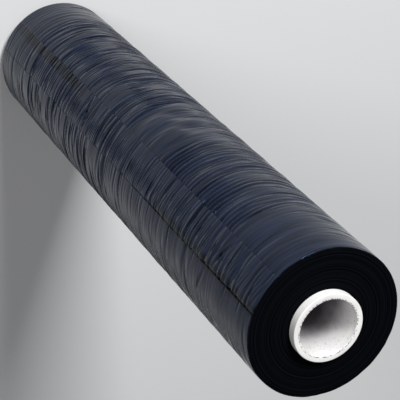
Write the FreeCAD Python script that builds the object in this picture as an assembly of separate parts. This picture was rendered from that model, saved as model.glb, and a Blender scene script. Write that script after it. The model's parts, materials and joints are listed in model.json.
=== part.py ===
import FreeCAD, Part
import math
import os

# A hand roll of stretch film. Millimetres, +Z up. The roll stands on the end of its core:
# the origin is the middle of the core's lower end, and +Z runs up the core.

# Film
FILM_WIDTH = 500.0          # width of the film, so the height of the wound block
ROLL_RADIUS = 53.0          # outer radius over the last turns
EDGE_CHAMFER = 0.5          # soft edge where the last turns meet the end faces

# Core, a wound paper tube that stands out of the film at both ends
CORE_OUTER_RADIUS = 24.0
CORE_WALL = 4.2
CORE_OVERHANG = 6.0         # how far the tube stands out of each end face
CORE_EDGE = 0.6             # chamfer on the tube's cut edges

# Turns seen on the end faces: groups of turns that stand a little in or out
TURN_GROUPS = 5
TURN_STEP = 0.35            # deepest that a group lies behind the end face

# Gauge bands: thick and thin lanes of film that build up as shallow rings on the flank
BAND_COUNT = 5
BAND_DEPTH = 0.45           # deepest hollow between two rings

# Laps: the free end of the film and the end of the turn below it, both along the whole width
LAP_ANGLES = (0.0, -31.0)   # degrees round the flank from -Y, positive towards -X
LAP_DEPTH = 0.45            # height of the step
LAP_RUN_IN = 8.0            # degrees over which the film below dips towards the step

# Furrows: bundles of wrinkles that start at the free end of the film and run out round the roll
FURROW_BUNDLES = ((88.0, 8), (150.0, 7), (250.0, 1))   # start below the upper end face, how many
FURROW_PITCH = 4.0
FURROW_DEPTH = 0.6          # under the dipped film beside the free end
FURROW_REACH = 36.0         # degrees over which a furrow runs out
FURROW_FLARE = 1.2          # half width over depth

# Dents: soft flats on the flank, as (middle below the upper end face, half width, depth)
DENT_TURN = 41.0            # degrees round the flank
DENT_REACH = 15.0           # degrees to both sides over which a dent runs out
DENT_FLAT = 0.45            # share of the half width that is flat
DENTS = (
    (200.0, 9.0, 1.6),
    (225.0, 8.0, 1.5),
    (255.0, 8.0, 1.6),
    (295.0, 12.0, 1.6),
    (327.0, 11.0, 0.9),
    (400.0, 17.0, 0.8),
)

# Creases: the widest wrinkles of the lower half, each lower and further round than the last
CREASE_COUNT = 11
CREASE_START = 262.0        # the first one below the upper end face
CREASE_PITCH = 21.0
CREASE_TURN = 137.5         # degrees from one crease to the next
CREASE_REACH = 50.0         # degrees to both sides over which a crease runs out
CREASE_DEPTH = 1.0
CREASE_FLARE = 2.6          # half width over depth

FILM_BOTTOM = CORE_OVERHANG
FILM_TOP = FILM_BOTTOM + FILM_WIDTH
CORE_LENGTH = FILM_WIDTH + 2.0 * CORE_OVERHANG


def unevenness(index, phase):
    """A share from 0.3 to 1 that changes from one ring to the next as wound film does."""
    return 0.65 + 0.35 * math.sin(2.4 * index + phase)


def revolved(profile):
    """Turn a closed list of (radius, height) points round the Z axis."""
    points = [FreeCAD.Vector(radius, 0.0, height) for radius, height in profile]
    face = Part.Face(Part.makePolygon(points + [points[0]]))
    return face.revolve(FreeCAD.Vector(0, 0, 0), FreeCAD.Vector(0, 0, 1), 360.0)


def end_face_profile(level, inward, phase):
    """Points from the core to the roll's edge: each group rises outwards to the end face."""
    inner = CORE_OUTER_RADIUS
    outer = ROLL_RADIUS - EDGE_CHAMFER
    pitch = (outer - inner) / TURN_GROUPS
    profile = []
    for group in range(TURN_GROUPS):
        sunk = TURN_STEP * unevenness(group, phase)
        profile.append((inner + group * pitch, level + inward * sunk))
        profile.append((inner + (group + 1) * pitch, level))
    return profile


def flank_profile():
    """Points up the flank: a hollow and a crest for each gauge band."""
    bottom = FILM_BOTTOM + EDGE_CHAMFER
    pitch = (FILM_WIDTH - 2.0 * EDGE_CHAMFER) / BAND_COUNT
    profile = [(ROLL_RADIUS, bottom)]
    for band in range(BAND_COUNT):
        hollow = BAND_DEPTH * unevenness(band, 0.8)
        profile.append((ROLL_RADIUS - hollow, bottom + (band + 0.5) * pitch))
        profile.append((ROLL_RADIUS, bottom + (band + 1) * pitch))
    return profile


def lap_cutter(angle):
    """The wedge of air beside a lap: a step at the angle, fading out over the run-in."""
    margin = 2.0

    def at(radius, turn):
        around = math.radians(angle + turn)
        return FreeCAD.Vector(-radius * math.sin(around), -radius * math.cos(around),
                              FILM_BOTTOM - margin)

    outside = ROLL_RADIUS + margin
    corners = [
        at(ROLL_RADIUS - LAP_DEPTH, 0.0),
        at(ROLL_RADIUS - 0.5 * LAP_DEPTH, 0.5 * LAP_RUN_IN),
        at(outside, 1.5 * LAP_RUN_IN),
        at(outside, 0.0),
    ]
    face = Part.Face(Part.makePolygon(corners + [corners[0]]))
    return face.extrude(FreeCAD.Vector(0, 0, FILM_WIDTH + 2.0 * margin))


def ring_cutter(turn, height, depth, reach, flare, flat=0.0, both_sides=True):
    """A stretch of ring set off the roll's axis, so that its cut is deepest at the turn and
    runs out at the reach. The edge that cuts is a V, or has a flat of the given half width."""
    margin = 3.0
    run_past = 1.2
    offset = depth / (1.0 - math.cos(math.radians(reach)))
    around = math.radians(turn)
    out = FreeCAD.Vector(-math.sin(around), -math.cos(around), 0.0)
    up = FreeCAD.Vector(0, 0, 1)
    bottom = out * (ROLL_RADIUS - depth) + up * height
    wide = bottom + out * margin
    half = flat + flare * margin
    edge = [bottom - up * flat, bottom + up * flat] if flat else [bottom]
    corners = edge + [wide + up * half, wide - up * half]
    face = Part.Face(Part.makePolygon(corners + [corners[0]]))
    centre = out * -offset
    sweep = run_past * reach
    if both_sides:
        face.rotate(centre, up, sweep)
        sweep *= 2.0
    return face.revolve(centre, up, -sweep)


def furrow_cutter(height):
    """A furrow that starts at the free end of the film."""
    depth = LAP_DEPTH + FURROW_DEPTH
    return ring_cutter(LAP_ANGLES[0], height, depth, FURROW_REACH, FURROW_FLARE, both_sides=False)


def dent_cutter(below, half_width, depth):
    """A dent with a flat floor and sloping sides."""
    flat = DENT_FLAT * half_width
    flare = (half_width - flat) / depth
    return ring_cutter(DENT_TURN, FILM_TOP - below, depth, DENT_REACH, flare, flat)


def crease_cutter(index):
    """One of the wide creases that follow each other down and round the roll."""
    height = FILM_TOP - CREASE_START - index * CREASE_PITCH
    return ring_cutter(index * CREASE_TURN, height, CREASE_DEPTH, CREASE_REACH, CREASE_FLARE)


def furrow_heights():
    """The height of each furrow, bundle by bundle from the upper end face down."""
    return [
        FILM_TOP - start - index * FURROW_PITCH
        for start, count in FURROW_BUNDLES
        for index in range(count)
    ]


def core_tube():
    """The paper tube, with its cut edges slightly broken."""
    inner = CORE_OUTER_RADIUS - CORE_WALL
    return revolved([
        (inner, CORE_EDGE),
        (inner + CORE_EDGE, 0.0),
        (CORE_OUTER_RADIUS - CORE_EDGE, 0.0),
        (CORE_OUTER_RADIUS, CORE_EDGE),
        (CORE_OUTER_RADIUS, CORE_LENGTH - CORE_EDGE),
        (CORE_OUTER_RADIUS - CORE_EDGE, CORE_LENGTH),
        (inner + CORE_EDGE, CORE_LENGTH),
        (inner, CORE_LENGTH - CORE_EDGE),
    ])


def film_roll():
    """All the turns of film as one block, wound on the tube."""
    lower = end_face_profile(FILM_BOTTOM, 1.0, 0.0)
    upper = end_face_profile(FILM_TOP, -1.0, 2.0)
    block = revolved(lower + flank_profile() + upper[::-1])
    for angle in LAP_ANGLES:
        block = block.cut(lap_cutter(angle))
    block = block.cut([furrow_cutter(height) for height in furrow_heights()])
    block = block.cut([dent_cutter(*dent) for dent in DENTS])
    block = block.cut([crease_cutter(index) for index in range(CREASE_COUNT)])
    return block.Solids[0]


def main():
    os.makedirs("parts", exist_ok=True)
    pieces = {"core_tube": core_tube(), "film_roll": film_roll()}
    for name, shape in pieces.items():
        shape.exportStep("parts/" + name + ".step")
        box = shape.BoundBox
        print(name, "valid", shape.isValid(), "solids", len(shape.Solids), "faces", len(shape.Faces),
              "volume", round(shape.Volume), "box", round(box.XMin, 2), round(box.YMin, 2),
              round(box.ZMin, 2), round(box.XMax, 2), round(box.YMax, 2), round(box.ZMax, 2))


main()
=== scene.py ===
import json
import math

import bpy
import numpy as np
from mathutils import Matrix, Vector


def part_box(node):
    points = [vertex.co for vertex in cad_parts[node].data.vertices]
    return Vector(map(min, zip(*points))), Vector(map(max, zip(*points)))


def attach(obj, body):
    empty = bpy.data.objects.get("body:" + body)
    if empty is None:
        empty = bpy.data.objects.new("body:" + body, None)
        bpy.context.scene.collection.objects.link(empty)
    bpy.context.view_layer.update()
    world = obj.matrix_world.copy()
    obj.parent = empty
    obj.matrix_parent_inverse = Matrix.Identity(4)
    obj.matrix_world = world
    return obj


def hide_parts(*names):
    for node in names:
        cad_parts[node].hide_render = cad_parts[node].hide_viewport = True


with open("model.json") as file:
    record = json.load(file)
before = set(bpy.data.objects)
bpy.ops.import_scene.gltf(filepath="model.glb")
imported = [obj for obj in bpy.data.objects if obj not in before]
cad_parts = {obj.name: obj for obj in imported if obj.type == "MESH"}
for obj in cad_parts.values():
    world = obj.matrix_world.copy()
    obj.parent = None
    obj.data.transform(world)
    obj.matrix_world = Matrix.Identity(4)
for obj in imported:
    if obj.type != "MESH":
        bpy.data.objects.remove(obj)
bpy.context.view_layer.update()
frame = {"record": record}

# A hand roll of black stretch film that stands on the end of its paper core.
# Lengths are in metres. "Turn" is the angle round the roll in degrees, from -Y towards -X, so that
# turn 0 faces the camera. "Height" is Z. "Share" is a place along the roll, as a share of the
# film's width from the upper end, which is the near one in the picture.
MM = 0.001

# Sizes read from the frame
film_low, film_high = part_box("film_roll")
core_low, core_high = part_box("core_tube")
ROLL_RADIUS = (film_high.y - film_low.y) / 2
FILM_BOTTOM = film_low.z
FILM_TOP = film_high.z
FILM_WIDTH = FILM_TOP - FILM_BOTTOM
CORE_RADIUS = (core_high.x - core_low.x) / 2
CORE_LENGTH = core_high.z - core_low.z
CORE_BORE = frame["record"]["mounts"][0]["dims"]["r_mm"] * MM

# Outer turns, made as one closed sleeve round the inner turns
SLEEVE = 4.0 * MM
SLEEVE_LEAST = 1.2 * MM      # wall that stays under the deepest furrow
RAGGED = 0.45 * MM           # how far single turns stop short of the end face
RAGGED_SEED = 31
FRONT_TURN = 100.0           # degrees to both sides of turn 0 where the columns are closer
FRONT_COLUMNS = 77
BACK_COLUMNS = 42
LAP_GAP = 0.15               # degrees from a lap to the columns on both sides of it
ROWS = 790                   # up the sleeve
HEADROOM = 0.65 * MM         # room left under the CAD radius for ridges
EDGE_ROUND = 0.3 * MM
CREST_SHARP = 50.0           # degrees past which an edge isn't shaded smooth
END_FACING = 0.8             # upward or downward share of a normal that makes a face an end face

# Inner turns, seen on the end faces
INNER_OVERLAP = 0.3 * MM     # how far they reach into the sleeve
TURN_COLUMNS = 160
TURN_RINGS = 84
TURN_RELIEF = 0.22 * MM
RING_MIDDLE = 0.5            # how deep the rings lie, as shares of the relief: their mean,
RING_SLOW = 0.9              # the swell over neighbouring rings,
RING_FAST = 0.18             # what each ring has of its own,
RING_MOST = 1.6              # and the most
RING_BLUR = 9                # rings that one swell is averaged over
LOW_RING_SEED = 21
HIGH_RING_SEED = 22

# Core
CORE_EDGE = 0.6 * MM
CORE_EDGE_POINTS = 6
CORE_COLUMNS = 128
MOUTH_DEPTH = 16.0 * MM      # where the bore has turned halfway from white to the grey of board and painted shade
MOUTH_BLUR = 12.0 * MM
RIM_FRAY = 0.25 * MM         # how far the rim's edge between grey and white wanders
RIM_WHITE = (0.3 * MM, 0.8 * MM)    # from the bore's wall outwards: where the rim turns white
RIM_SPECKS = (0.2 * MM, 1.1 * MM)   # and the ring that has specks
RIM_SPECK_BLUR = 0.15 * MM

# Every wrinkle
WRINKLE_GAIN = 1.6           # deepens every wrinkle alike
WRINKLE_GAIN_LOW = 0.9       # what it gains towards the lower end
WRINKLE_ROWS = 3.2           # widths to both sides that it is worked out over
WRINKLE_RIDGE = 0.9          # how strongly the film beside a furrow stands up

# How much the furrows of one bundle differ
BUNDLE_SEED = 100
BUNDLE_WANDER = 1.5          # degrees round the roll
BUNDLE_LEAN = 0.012          # tilt
BUNDLE_LENGTH = (0.8, 1.25)
BUNDLE_WIDTH = (0.28, 0.34)  # as a share of the pitch
BUNDLE_DEPTH = (0.75, 1.10)
BUNDLE_STEP = (0.85, 1.15)

# Creases: the widest wrinkles of the lower half, at the places that they have in the CAD
CREASE_COUNT = 11
CREASE_START = 262.0 * MM    # the first one below the upper end face
CREASE_PITCH = 21.0 * MM
CREASE_TURN = 137.5          # degrees from one crease to the next
CREASE_REACH = 50.0          # degrees to both sides over which a crease runs out
CREASE_DEPTH = 1.0 * MM
CREASE_WIDTH = 1.6 * MM

# Laps: the film's free end, and the end of the turn below it
LAPS = (0.0, -31.0)
LAP_FADES = ((0.80, 0.92, 0.25), (0.30, 0.55, 0.30))   # shares between which it fades, what is left
LAP_PARTS = 90.0             # degrees to both sides within which wrinkles don't cross it
LAP_STEP = 0.75 * MM
LAP_RUN_IN = 7.0             # degrees over which the film below dips
LAP_RISE = 0.05 * MM
LAP_LIP = 3.0                # degrees over which the film above stands up
LAP_WAVE = 0.2               # how much the step varies up the roll
LAP_WAVES = 21.0             # radians that the variation runs through

# Gauge bands: share, width and height in millimetres
BANDS = (
    (0.030, 9.0, 0.20), (0.095, 8.0, 0.22), (0.160, 10.0, 0.15), (0.205, 7.0, 0.20),
    (0.260, 9.0, 0.25), (0.330, 11.0, 0.20), (0.395, 9.0, 0.28), (0.450, 8.0, 0.18),
    (0.520, 10.0, 0.26), (0.560, 7.0, 0.20), (0.620, 10.0, 0.22), (0.700, 12.0, 0.20),
    (0.780, 10.0, 0.22), (0.860, 12.0, 0.18), (0.940, 10.0, 0.22),
)
BAND_WAVE = 0.35             # how much a band's height varies round the roll
BAND_WAVES = 2
BAND_SHIFT = 900.0           # degrees by which the variation turns over the width

# Lanes that lean: share, half width in millimetres, degrees
LANE_TURN = 30.0
LANE_SPREAD = 14.0
LANES = (
    (0.055, 20.0, 2.0), (0.150, 9.0, -3.0), (0.195, 10.0, 4.0), (0.245, 5.0, -3.0),
    (0.290, 9.0, 2.0), (0.345, 9.0, 5.0), (0.400, 8.0, -13.0), (0.450, 7.0, -12.0),
    (0.480, 5.0, 3.0), (0.510, 7.0, -13.0), (0.547, 6.0, -3.0), (0.590, 12.0, -13.0),
    (0.655, 11.0, -6.0), (0.720, 14.0, 2.0), (0.800, 17.0, -5.0), (0.900, 22.0, 2.0),
)

# Calm stretches: turns, shares, and how calm
CALM = (
    ((2.0, 60.0), (0.00, 0.125), 0.85),
    ((2.0, 45.0), (0.358, 0.49), 0.80),
    ((0.0, 40.0), (0.174, 0.242), 0.75),
    ((0.0, 40.0), (0.298, 0.356), 0.75),
    ((-62.0, -33.0), (0.00, 0.30), 0.92),
    ((-58.0, -33.0), (0.30, 0.50), 0.55),
    ((-60.0, 60.0), (0.90, 1.00), 0.70),
    ((44.0, 110.0), (0.00, 1.00), 0.25),
)
CALM_BLUR_TURN = 7.0
CALM_BLUR_SHARE = 0.012

# Bundles of furrows: turns, shares, pitch and depth in millimetres, tilt
BUNDLES = (
    ((-24.0, 30.0), (0.060, 0.068), 3.6, 0.30, 0.0),
    ((-30.0, 40.0), (0.130, 0.172), 4.4, 0.40, 0.0),
    ((-34.0, 40.0), (0.176, 0.240), 4.8, 0.70, 0.0),
    ((-30.0, 40.0), (0.255, 0.300), 4.4, 0.40, 0.0),
    ((-34.0, 40.0), (0.300, 0.356), 4.8, 0.70, 0.0),
    ((-1.0, 75.0), (0.499, 0.510), 5.0, 0.62, 0.0),
    ((-68.0, -26.0), (0.143, 0.147), 4.0, 0.50, 0.50),
    ((-38.0, 4.0), (0.112, 0.116), 4.0, 0.60, 0.50),
    ((-35.0, 1.0), (0.612, 0.616), 4.0, 0.85, -0.45),
    ((14.0, 44.0), (0.515, 0.600), 2.6, 0.26, 0.0),
    ((2.0, 44.0), (0.600, 0.820), 2.8, 0.24, 0.0),
    ((-33.0, -4.0), (0.005, 0.130), 3.2, 0.26, 0.30),
    ((-31.0, -2.0), (0.130, 0.330), 2.8, 0.24, 0.14),
    ((-33.0, -4.0), (0.330, 0.700), 2.6, 0.25, 0.03),
    ((-36.0, 0.0), (0.700, 0.860), 3.2, 0.18, 0.0),
    ((46.0, 95.0), (0.100, 0.900), 3.0, 0.22, 0.0),
    ((-98.0, -62.0), (0.030, 0.900), 3.2, 0.26, 0.06),
)

# Loose wrinkles: seed, count, ranges of half length, width and depth in millimetres, and of tilt
SCATTERS = (
    (7, 1700, (8.0, 28.0), (1.0, 1.5), (0.08, 0.26), (-0.12, 0.12)),
    (8, 300, (18.0, 50.0), (1.2, 2.0), (0.10, 0.30), (-0.05, 0.05)),
    (9, 140, (25.0, 80.0), (2.0, 3.2), (0.15, 0.40), (-0.06, 0.06)),
)

# Painted shade: stretches beside the laps with a darker base colour, for the shade and dark
# reflection in the film's dip by the step: turns, shares, and how soft the sides are in degrees
LAP_SHADE = (
    ((-33.0, -25.5), (-0.10, 0.31), 1.6),
    ((-9.0, 0.0), (0.67, 0.98), 0.8),
)
LAP_SHADE_BLUR_SHARE = 0.03
LAP_SHADE_COLOUR = (0.0012, 0.0014, 0.0022)

# Camera, from the photo's perspective
CAMERA_AIM = 0.3172          # height on the roll's axis
CAMERA_DISTANCE = 1.067
CAMERA_ELEVATION = 55.11     # degrees above the horizon
CAMERA_ROLL = 134.92         # degrees round the line of sight
CAMERA_LENS = 133.25         # millimetres, on a 36 mm sensor
CAMERA_SENSOR = 36.0
CAMERA_NEAR = 0.01

# Studio
FLOOR_SIZE = 40.0
FLOOR_COLOUR = (0.76, 0.77, 0.78)
AIR_TONE = 0.12              # the plain grey world
LAMP_AIM = (0.0, -0.05, 0.20)
LAMP_SIZE = 0.8
LAMPS = (("key", (-1.5, -1.2, 2.0), 74.0), ("fill", (0.5, -1.9, 1.9), 15.0))


def around(radius, turn, height):
    """Points at a radius, a turn in degrees and a height, as an array of X, Y, Z."""
    angle = np.radians(turn)
    return np.stack([-radius * np.sin(angle), -radius * np.cos(angle), height], axis=-1)


def wrapped(turn):
    """The same turn between -180 and 180 degrees."""
    return (turn + 180.0) % 360.0 - 180.0


def smooth(x):
    """0 below 0, 1 above 1, and a smooth rise between."""
    x = np.clip(x, 0.0, 1.0)
    return x * x * (3.0 - 2.0 * x)


def metres(lengths):
    """Millimetres as metres."""
    return [length * MM for length in lengths]


def at_share(share):
    """The height at a share of the width."""
    return FILM_TOP - share * FILM_WIDTH


def lattice_mesh(name, points):
    """A closed quad mesh over a lattice of points that joins up round the roll and across it."""
    rows, columns = points.shape[:2]
    mesh = bpy.data.meshes.new(name)
    below = np.arange(rows * columns).reshape(rows, columns)
    above = np.roll(below, -1, axis=0)
    quads = np.stack(
        [below, np.roll(below, -1, axis=1), np.roll(above, -1, axis=1), above], axis=-1
    ).reshape(-1, 4)
    mesh.from_pydata(points.reshape(-1, 3).tolist(), [], quads.tolist())
    mesh.polygons.foreach_set("use_smooth", [True] * len(mesh.polygons))
    mesh.validate()
    mesh.update()
    piece = bpy.data.objects.new(name, mesh)
    bpy.context.scene.collection.objects.link(piece)
    return piece


def even_turns(count):
    """Turns evenly spaced round the roll."""
    return 180.0 - np.arange(count) * 360.0 / count


def ring_lattice(radii, heights, turn):
    """Lattice rows from lists of radius and height, one row for each pair, columns at the turns."""
    radii, heights = np.asarray(radii), np.asarray(heights)
    return around(radii[:, None], turn[None, :], heights[:, None] + 0.0 * turn[None, :])


# Wrinkles of the outer turns

class Flank:
    """The outer surface as a lattice of turns and heights, with the relief in metres."""

    def __init__(self):
        front = np.linspace(-FRONT_TURN, FRONT_TURN, FRONT_COLUMNS)
        back = np.linspace(FRONT_TURN, 360.0 - FRONT_TURN, BACK_COLUMNS + 2)[1:-1]
        sides = [lap + side for lap in LAPS for side in (LAP_GAP, -LAP_GAP)]
        self.turn = np.sort(wrapped(np.concatenate([front, back, sides])))[::-1]
        self.height = np.linspace(FILM_BOTTOM, FILM_TOP, ROWS)
        self.share = (FILM_TOP - self.height) / FILM_WIDTH
        self.relief = np.zeros((ROWS, len(self.turn)))
        self.calm = np.ones((ROWS, len(self.turn)))

    def arc(self, turn):
        """Distance round the flank from a turn, for every column."""
        return np.radians(wrapped(self.turn - turn)) * ROLL_RADIUS

    def same_side(self, turn):
        """Columns that no lap parts from a turn: a wrinkle stays on its own layer of film."""
        same = np.ones(len(self.turn), dtype=bool)
        for lap in LAPS:
            column_side, turn_side = wrapped(self.turn - lap), wrapped(turn - lap)
            near = (np.abs(column_side) < LAP_PARTS) & (abs(turn_side) < LAP_PARTS)
            same &= ~(near & (column_side * turn_side < 0.0))
        return same

    def stroke(self, turn, height, length, width, depth, tilt):
        """One wrinkle: a furrow between two low ridges that fades out at both ends."""
        arc = self.arc(turn)
        columns = np.nonzero((np.abs(arc) < length) & self.same_side(turn))[0]
        along = arc[columns]
        reach = WRINKLE_ROWS * width + abs(tilt) * length
        rows = np.nonzero(np.abs(self.height - height) < reach)[0]
        if not len(columns) or not len(rows):
            return
        across = self.height[rows][:, None] - height - tilt * along[None, :]
        fade = np.cos(0.5 * np.pi * along / length)[None, :] ** 2
        share = (across / width) ** 2
        gain = WRINKLE_GAIN + WRINKLE_GAIN_LOW * (FILM_TOP - height) / FILM_WIDTH
        furrow = gain * depth * fade * (1.0 - WRINKLE_RIDGE * share) * np.exp(-share)
        self.relief[np.ix_(rows, columns)] -= furrow

    def bundle(self, seed, turns, shares, pitch, depth, tilt):
        """Side by side furrows over a stretch of the flank."""
        rng = np.random.default_rng(seed)
        height, last = at_share(shares[1]), at_share(shares[0])
        middle = 0.5 * (turns[0] + turns[1])
        half = math.radians(0.5 * (turns[1] - turns[0])) * ROLL_RADIUS
        while height < last:
            self.stroke(
                middle + rng.normal(0.0, BUNDLE_WANDER),
                height,
                half * rng.uniform(*BUNDLE_LENGTH),
                pitch * rng.uniform(*BUNDLE_WIDTH),
                depth * rng.uniform(*BUNDLE_DEPTH),
                tilt + rng.normal(0.0, BUNDLE_LEAN),
            )
            height += pitch * rng.uniform(*BUNDLE_STEP)

    def crease(self, index):
        """One of the wide creases that follow each other down and round the roll."""
        height = FILM_TOP - CREASE_START - index * CREASE_PITCH
        beside = wrapped(self.turn - index * CREASE_TURN)
        run_out = 1.0 - math.cos(math.radians(CREASE_REACH))
        along = np.clip(1.0 - (1.0 - np.cos(np.radians(beside))) / run_out, 0.0, 1.0)
        across = np.exp(-(((self.height - height) / CREASE_WIDTH) ** 2))
        self.relief -= CREASE_DEPTH * across[:, None] * along[None, :]

    def scatter(self, seed, count, lengths, widths, depths, tilts):
        """Loose wrinkles all round the roll, shallower where the film lies calm."""
        rng = np.random.default_rng(seed)
        for _ in range(count):
            turn, height = rng.uniform(-180.0, 180.0), rng.uniform(FILM_BOTTOM, FILM_TOP)
            row = int((height - FILM_BOTTOM) / FILM_WIDTH * (ROWS - 1))
            column = int(np.argmin(np.abs(wrapped(self.turn - turn))))
            self.stroke(
                turn,
                height,
                rng.uniform(*lengths),
                rng.uniform(*widths),
                rng.uniform(*depths) * self.calm[row, column],
                rng.uniform(*tilts),
            )

    def quieten(self, turns, shares, amount):
        """A stretch where the film lies smooth."""
        beside = np.abs(wrapped(self.turn - 0.5 * (turns[0] + turns[1])))
        along = np.abs(self.share - 0.5 * (shares[0] + shares[1]))
        side = smooth((0.5 * (turns[1] - turns[0]) - beside) / CALM_BLUR_TURN + 0.5)
        length = smooth((0.5 * (shares[1] - shares[0]) - along) / CALM_BLUR_SHARE + 0.5)
        self.calm *= 1.0 - amount * length[:, None] * side[None, :]

    def band(self, share, width, rise):
        """A gauge band: a low ring round the whole roll, with uneven height round it."""
        ring = np.exp(-(((self.height - at_share(share)) / width) ** 2))
        wave = 1.0 + BAND_WAVE * np.sin(np.radians(self.turn * BAND_WAVES + share * BAND_SHIFT))
        self.relief += rise * ring[:, None] * wave[None, :]

    def lane(self, share, width, shift):
        """A lane that isn't quite round: its side leans by some degrees over a short stretch."""
        lane = np.exp(-((np.abs(self.height - at_share(share)) / width) ** 3))
        beside = wrapped(self.turn - LANE_TURN)
        window = np.exp(-((beside / LANE_SPREAD) ** 2))
        lean = np.radians(shift) * np.radians(beside) * ROLL_RADIUS * window
        self.relief += lane[:, None] * lean[None, :]

    def lap(self, turn, fade_from, fade_to, rest):
        """A straight step along the roll: the film dips towards it, then stands up to the next."""
        beside = wrapped(self.turn - turn)
        under = (beside > 0.0) & (beside < LAP_RUN_IN)
        over = (beside < 0.0) & (beside > -LAP_LIP)
        dip = np.where(under, (1.0 - beside / LAP_RUN_IN) ** 3, 0.0)
        lip = np.where(over, (1.0 + beside / LAP_LIP) ** 2, 0.0)
        strength = 1.0 - (1.0 - rest) * smooth((self.share - fade_from) / (fade_to - fade_from))
        wave = strength * (1.0 - LAP_WAVE + LAP_WAVE * np.sin(self.share * LAP_WAVES + turn))
        self.relief += wave[:, None] * (LAP_RISE * lip - LAP_STEP * dip)[None, :]


def film_flank():
    """Relief of the outer turns."""
    flank = Flank()
    for share, width, rise in BANDS:
        flank.band(share, width * MM, rise * MM)
    for share, width, shift in LANES:
        flank.lane(share, width * MM, shift)
    for stretch in CALM:
        flank.quieten(*stretch)
    for number, (turns, shares, pitch, depth, tilt) in enumerate(BUNDLES):
        flank.bundle(BUNDLE_SEED + number, turns, shares, pitch * MM, depth * MM, tilt)
    for index in range(CREASE_COUNT):
        flank.crease(index)
    for seed, count, lengths, widths, depths, tilts in SCATTERS:
        flank.scatter(seed, count, metres(lengths), metres(widths), metres(depths), tilts)
    for turn, fade in zip(LAPS, LAP_FADES):
        flank.lap(turn, *fade)
    return flank


def outer_turns():
    """The outer turns: a closed sleeve whose outside carries the wrinkles."""
    flank = film_flank()
    edge = np.minimum(flank.height - FILM_BOTTOM, FILM_TOP - flank.height)
    inset = (1.0 - edge / EDGE_ROUND).clip(0.0)
    rounding = EDGE_ROUND * (1.0 - np.sqrt(np.clip(1.0 - inset ** 2, 0.0, 1.0)))
    inner = ROLL_RADIUS - SLEEVE
    radius = np.clip(ROLL_RADIUS - HEADROOM + flank.relief, inner + SLEEVE_LEAST, ROLL_RADIUS)
    radius -= rounding[:, None]
    height = flank.height[:, None] + 0.0 * radius
    rng = np.random.default_rng(RAGGED_SEED)
    height[0] += RAGGED * rng.uniform(0.0, 1.0, len(flank.turn))
    height[-1] -= RAGGED * rng.uniform(0.0, 1.0, len(flank.turn))
    outside = around(radius, flank.turn[None, :], height)
    inside = ring_lattice([inner, inner], [FILM_TOP, FILM_BOTTOM], flank.turn)
    sleeve = lattice_mesh("film_outer_turns", np.concatenate([outside, inside]))
    sleeve.data.set_sharp_from_angle(angle=math.radians(CREST_SHARP))
    return sleeve


def dress_sleeve_ends(sleeve):
    """The sleeve's end faces are cut edges of film, as on the block inside it."""
    for face in sleeve.data.polygons:
        face.material_index = 1 if abs(face.normal.z) > END_FACING else 0


# Turns on the end faces

def end_rings(level, inward, seed):
    """Radius and height of the rings on an end face: each stands a little in or out."""
    rng = np.random.default_rng(seed)
    radii = np.linspace(CORE_RADIUS, ROLL_RADIUS - SLEEVE + INNER_OVERLAP, TURN_RINGS)
    draws = rng.normal(0.0, 1.0, TURN_RINGS + RING_BLUR - 1)
    slow = np.convolve(draws, np.ones(RING_BLUR) / RING_BLUR, mode="valid")
    fast = rng.normal(0.0, 1.0, TURN_RINGS)
    relief = np.clip(RING_MIDDLE + RING_SLOW * slow + RING_FAST * fast, 0.0, RING_MOST)
    return radii, level + inward * TURN_RELIEF * relief


def inner_turns():
    """The wound block inside the outer turns, with its rings of turns on both end faces."""
    low_radii, low_heights = end_rings(FILM_BOTTOM, 1.0, LOW_RING_SEED)
    high_radii, high_heights = end_rings(FILM_TOP, -1.0, HIGH_RING_SEED)
    radii = np.concatenate([low_radii, high_radii[::-1]])
    heights = np.concatenate([low_heights, high_heights[::-1]])
    points = ring_lattice(radii, heights, even_turns(TURN_COLUMNS))
    return lattice_mesh("film_inner_turns", points)


def paper_core():
    """The paper tube, with softly broken edges."""
    inner, outer = CORE_BORE + CORE_EDGE, CORE_RADIUS - CORE_EDGE
    low, high = CORE_EDGE, CORE_LENGTH - CORE_EDGE
    corners = ((inner, low, 180), (outer, low, 270), (outer, high, 0), (inner, high, 90))
    radii, heights = [], []
    for radius, height, start in corners:
        for angle in np.radians(np.linspace(start, start + 90, CORE_EDGE_POINTS)):
            radii.append(radius + CORE_EDGE * math.cos(angle))
            heights.append(height + CORE_EDGE * math.sin(angle))
    points = ring_lattice(radii, heights, even_turns(CORE_COLUMNS))
    return lattice_mesh("paper_core", points)


# Materials

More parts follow.
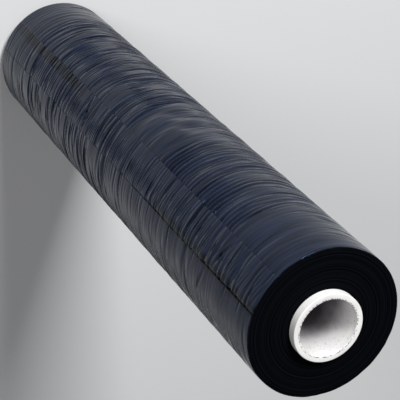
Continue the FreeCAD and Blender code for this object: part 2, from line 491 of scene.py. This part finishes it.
class Nodes:
    """Short ways to add and join shader nodes. Scales are in cells per metre."""

    RAMP_ENDS = (0.35, 0.65)     # noise values at which a ramp reaches its two colours

    def __init__(self, name):
        self.material = bpy.data.materials.new(name)
        self.material.use_nodes = True
        self.tree = self.material.node_tree
        self.shader = self.tree.nodes["Principled BSDF"]

    def add(self, kind, **values):
        """A new node with these values."""
        node = self.tree.nodes.new(kind)
        for key, value in values.items():
            setattr(node, key, value)
        return node

    def join(self, source, target):
        """A link from one socket to another."""
        self.tree.links.new(source, target)

    def set(self, **values):
        """Uniform values on the shader's own sockets."""
        for key, value in values.items():
            self.shader.inputs[key.replace("_", " ")].default_value = value

    def stretched(self, scale):
        """Object coordinates scaled by a vector."""
        place = self.add("ShaderNodeTexCoord")
        mapping = self.add("ShaderNodeMapping")
        mapping.inputs["Scale"].default_value = scale
        self.join(place.outputs["Object"], mapping.inputs["Vector"])
        return mapping.outputs["Vector"]

    def noise(self, scale, detail=3.0):
        """Noise from 0 to 1 over the piece."""
        noise = self.add("ShaderNodeTexNoise")
        noise.inputs["Scale"].default_value = 1.0
        noise.inputs["Detail"].default_value = detail
        self.join(self.stretched(scale), noise.inputs["Vector"])
        return noise.outputs["Fac"]

    def radius(self):
        """Distance from the roll's axis."""
        length = self.add("ShaderNodeVectorMath", operation="LENGTH")
        self.join(self.stretched((1.0, 1.0, 0.0)), length.inputs[0])
        return length.outputs["Value"]

    def turn(self):
        """The turn round the roll, in radians."""
        parts = self.add("ShaderNodeSeparateXYZ")
        self.join(self.stretched((-1.0, -1.0, 1.0)), parts.inputs["Vector"])
        return self.maths("ARCTAN2", parts.outputs["X"], parts.outputs["Y"])

    def height(self):
        """The height above the floor."""
        parts = self.add("ShaderNodeSeparateXYZ")
        self.join(self.stretched((1.0, 1.0, 1.0)), parts.inputs["Vector"])
        return parts.outputs["Z"]

    def ring_noise(self, scale, detail):
        """Noise that changes only with the distance from the roll's axis."""
        noise = self.add("ShaderNodeTexNoise", noise_dimensions="1D")
        noise.inputs["Scale"].default_value = scale
        noise.inputs["Detail"].default_value = detail
        self.join(self.radius(), noise.inputs["W"])
        return noise.outputs["Fac"]

    def maths(self, operation, first, second):
        """Two values joined by an operation."""
        node = self.add("ShaderNodeMath", operation=operation)
        self.join(first, node.inputs[0])
        self.join(second, node.inputs[1])
        return node.outputs["Value"]

    def span(self, source, low, high, start=0.3, end=0.7):
        """A number between two, by a value."""
        span = self.add("ShaderNodeMapRange")
        span.inputs["From Min"].default_value = start
        span.inputs["From Max"].default_value = end
        span.inputs["To Min"].default_value = low
        span.inputs["To Max"].default_value = high
        self.join(source, span.inputs["Value"])
        return span.outputs["Result"]

    def window(self, source, low, high, blur):
        """1 between two values and 0 outside them, with soft ends."""
        rise = self.span(source, 0.0, 1.0, low - blur, low + blur)
        fall = self.span(source, 1.0, 0.0, high - blur, high + blur)
        return self.maths("MULTIPLY", rise, fall)

    def ramp(self, noise, low, high):
        """A colour between two, by a noise."""
        ramp = self.add("ShaderNodeValToRGB")
        for element, place, colour in zip(ramp.color_ramp.elements, self.RAMP_ENDS, (low, high)):
            element.position = place
            element.color = (*colour, 1.0)
        self.join(noise, ramp.inputs["Fac"])
        return ramp.outputs["Color"]

    def mixed(self, share, first, second):
        """A colour between two others, each a socket or written out."""
        mix = self.add("ShaderNodeMix", data_type="RGBA")
        self.join(share, mix.inputs["Factor"])
        for colour, socket in ((first, mix.inputs[6]), (second, mix.inputs[7])):
            if isinstance(colour, tuple):
                socket.default_value = (*colour, 1.0)
            else:
                self.join(colour, socket)
        return mix.outputs[2]

    def bump(self, source, distance):
        """Small relief on the shader's normal."""
        bump = self.add("ShaderNodeBump")
        bump.inputs["Distance"].default_value = distance
        self.join(source, bump.inputs["Height"])
        self.join(bump.outputs["Normal"], self.shader.inputs["Normal"])


def film_material():
    """Black cling film seen on its face: glossy, a little blue, with fine wrinkles round the roll."""
    nodes = Nodes("black_film_face")
    nodes.set(IOR=1.26, Specular_Tint=(0.32, 0.54, 1.0, 1.0))
    tone = nodes.noise((24.0, 24.0, 300.0), detail=4.0)
    colour = nodes.ramp(tone, (0.0040, 0.0054, 0.0115), (0.0130, 0.0175, 0.0340))
    wander = nodes.span(nodes.noise((40.0, 40.0, 160.0)), -0.03, 0.03)
    turn = nodes.maths("ADD", nodes.turn(), wander)
    height = nodes.height()
    # Painted shade: the base colour goes darker in the stretches beside the laps.
    for turns, shares, blur in LAP_SHADE:
        side = nodes.window(turn, *np.radians([*turns, blur]).tolist())
        blur_up = LAP_SHADE_BLUR_SHARE * FILM_WIDTH
        length = nodes.window(height, at_share(shares[1]), at_share(shares[0]), blur_up)
        colour = nodes.mixed(nodes.maths("MULTIPLY", side, length), colour, LAP_SHADE_COLOUR)
    nodes.join(colour, nodes.shader.inputs["Base Color"])
    rough = nodes.span(nodes.noise((30.0, 30.0, 240.0)), 0.06, 0.14)
    nodes.join(rough, nodes.shader.inputs["Roughness"])
    nodes.bump(nodes.noise((60.0, 60.0, 420.0), detail=2.0), 0.16 * MM)
    return nodes.material


def film_end_material():
    """The cut edges of the turns: a matt, near-black stack that swallows light."""
    nodes = Nodes("black_film_edges")
    nodes.set(IOR=1.35, Specular_IOR_Level=0.015, Roughness=0.6)
    rings = nodes.ring_noise(900.0, detail=4.0)
    colour = nodes.ramp(rings, (0.0010, 0.0012, 0.0018), (0.0036, 0.0041, 0.0060))
    nodes.join(colour, nodes.shader.inputs["Base Color"])
    nodes.bump(nodes.noise((300.0, 300.0, 300.0)), 0.05 * MM)
    return nodes.material


def paper_material():
    """White paper outside and at the mouths, grey deeper in the bore, partly board and partly painted
    shade, and a speckled rim.
    """
    nodes = Nodes("core_paper")
    nodes.set(Roughness=0.75)
    fibres = nodes.noise((90.0, 90.0, 90.0), detail=6.0)
    white = nodes.ramp(fibres, (0.80, 0.79, 0.78), (0.89, 0.89, 0.88))
    streaks = nodes.noise((120.0, 120.0, 60.0), detail=6.0)
    # Painted shade: the grey deeper in the bore is partly the board's own colour and partly shade of
    # the recess.
    board_and_shade = nodes.ramp(streaks, (0.20, 0.19, 0.20), (0.30, 0.29, 0.30))
    deep = nodes.window(nodes.height(), MOUTH_DEPTH, CORE_LENGTH - MOUTH_DEPTH, MOUTH_BLUR)
    bore = nodes.mixed(deep, white, board_and_shade)
    frayed = nodes.span(nodes.noise((700.0, 700.0, 700.0), detail=2.0), -RIM_FRAY, RIM_FRAY)
    edge = nodes.maths("ADD", nodes.radius(), frayed)
    shell = nodes.span(edge, 0.0, 1.0, *(CORE_BORE + place for place in RIM_WHITE))
    rim = nodes.window(edge, *(CORE_BORE + place for place in RIM_SPECKS), RIM_SPECK_BLUR)
    grain = nodes.noise((1300.0, 1300.0, 1300.0), detail=1.0)
    specks = nodes.maths("MULTIPLY", rim, nodes.span(grain, 0.0, 1.0, 0.50, 0.56))
    colour = nodes.mixed(specks, nodes.mixed(shell, bore, white), (0.22, 0.21, 0.23))
    nodes.join(colour, nodes.shader.inputs["Base Color"])
    nodes.bump(nodes.noise((900.0, 900.0, 500.0), detail=4.0), 0.06 * MM)
    return nodes.material


# Studio

def floor():
    """A plain pale floor."""
    nodes = Nodes("pale_floor")
    nodes.set(Base_Color=(*FLOOR_COLOUR, 1.0), Roughness=0.9, Specular_IOR_Level=0.0)
    half = FLOOR_SIZE / 2
    mesh = bpy.data.meshes.new("floor")
    corners = [(-half, -half, 0.0), (half, -half, 0.0), (half, half, 0.0), (-half, half, 0.0)]
    mesh.from_pydata(corners, [], [(0, 1, 2, 3)])
    mesh.materials.append(nodes.material)
    thing = bpy.data.objects.new("floor", mesh)
    bpy.context.scene.collection.objects.link(thing)


def soft_light(name, place, power):
    """A square, white soft light that looks at the roll's foot."""
    lamp = bpy.data.lights.new(name, "AREA")
    lamp.shape = "SQUARE"
    lamp.size = LAMP_SIZE
    lamp.energy = power
    thing = bpy.data.objects.new(name, lamp)
    thing.location = place
    thing.rotation_mode = "QUATERNION"
    thing.rotation_quaternion = (Vector(LAMP_AIM) - Vector(place)).to_track_quat("-Z", "Y")
    thing.visible_camera = False
    bpy.context.scene.collection.objects.link(thing)


def surround():
    """A plain, dim grey world."""
    world = bpy.data.worlds.new("surround")
    bpy.context.scene.world = world
    world.use_nodes = True
    air = world.node_tree.nodes["Background"]
    air.inputs["Color"].default_value = (AIR_TONE, AIR_TONE, AIR_TONE, 1.0)


def camera():
    """The camera, from the point on the axis that it aims at, its distance and its two angles."""
    data = bpy.data.cameras.new("camera")
    data.lens = CAMERA_LENS
    data.sensor_width = CAMERA_SENSOR
    data.clip_start = CAMERA_NEAR
    thing = bpy.data.objects.new("camera", data)
    rise = math.radians(CAMERA_ELEVATION)
    back = Vector((0.0, -math.cos(rise), math.sin(rise)))
    level = Matrix(((1.0, 0.0, 0.0), (0.0, math.sin(rise), math.cos(rise)), back)).transposed()
    rolled = level @ Matrix.Rotation(math.radians(CAMERA_ROLL), 3, "Z")
    place = Vector((0.0, 0.0, CAMERA_AIM)) + CAMERA_DISTANCE * back
    thing.matrix_world = Matrix.Translation(place) @ rolled.to_4x4()
    bpy.context.scene.collection.objects.link(thing)
    bpy.context.scene.camera = thing


def main():
    """Make and dress the pieces, then the studio round them."""
    film, cut_edges = film_material(), film_end_material()
    for make, materials, node, slot in (
        (outer_turns, (film, cut_edges), "film_roll", "black_film"),
        (inner_turns, (cut_edges,), "film_roll", "black_film"),
        (paper_core, (paper_material(),), "core_tube", "core_paper"),
    ):
        piece = make()
        for material in materials:
            piece.data.materials.append(material)
        if make is outer_turns:
            dress_sleeve_ends(piece)
        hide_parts(node)
        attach(piece, "root")
        print(piece.name, "triangles", 2 * len(piece.data.polygons))
    floor()
    for name, place, power in LAMPS:
        soft_light(name, place, power)
    surround()
    camera()


main()
bpy.context.scene.view_settings.view_transform = "Standard"
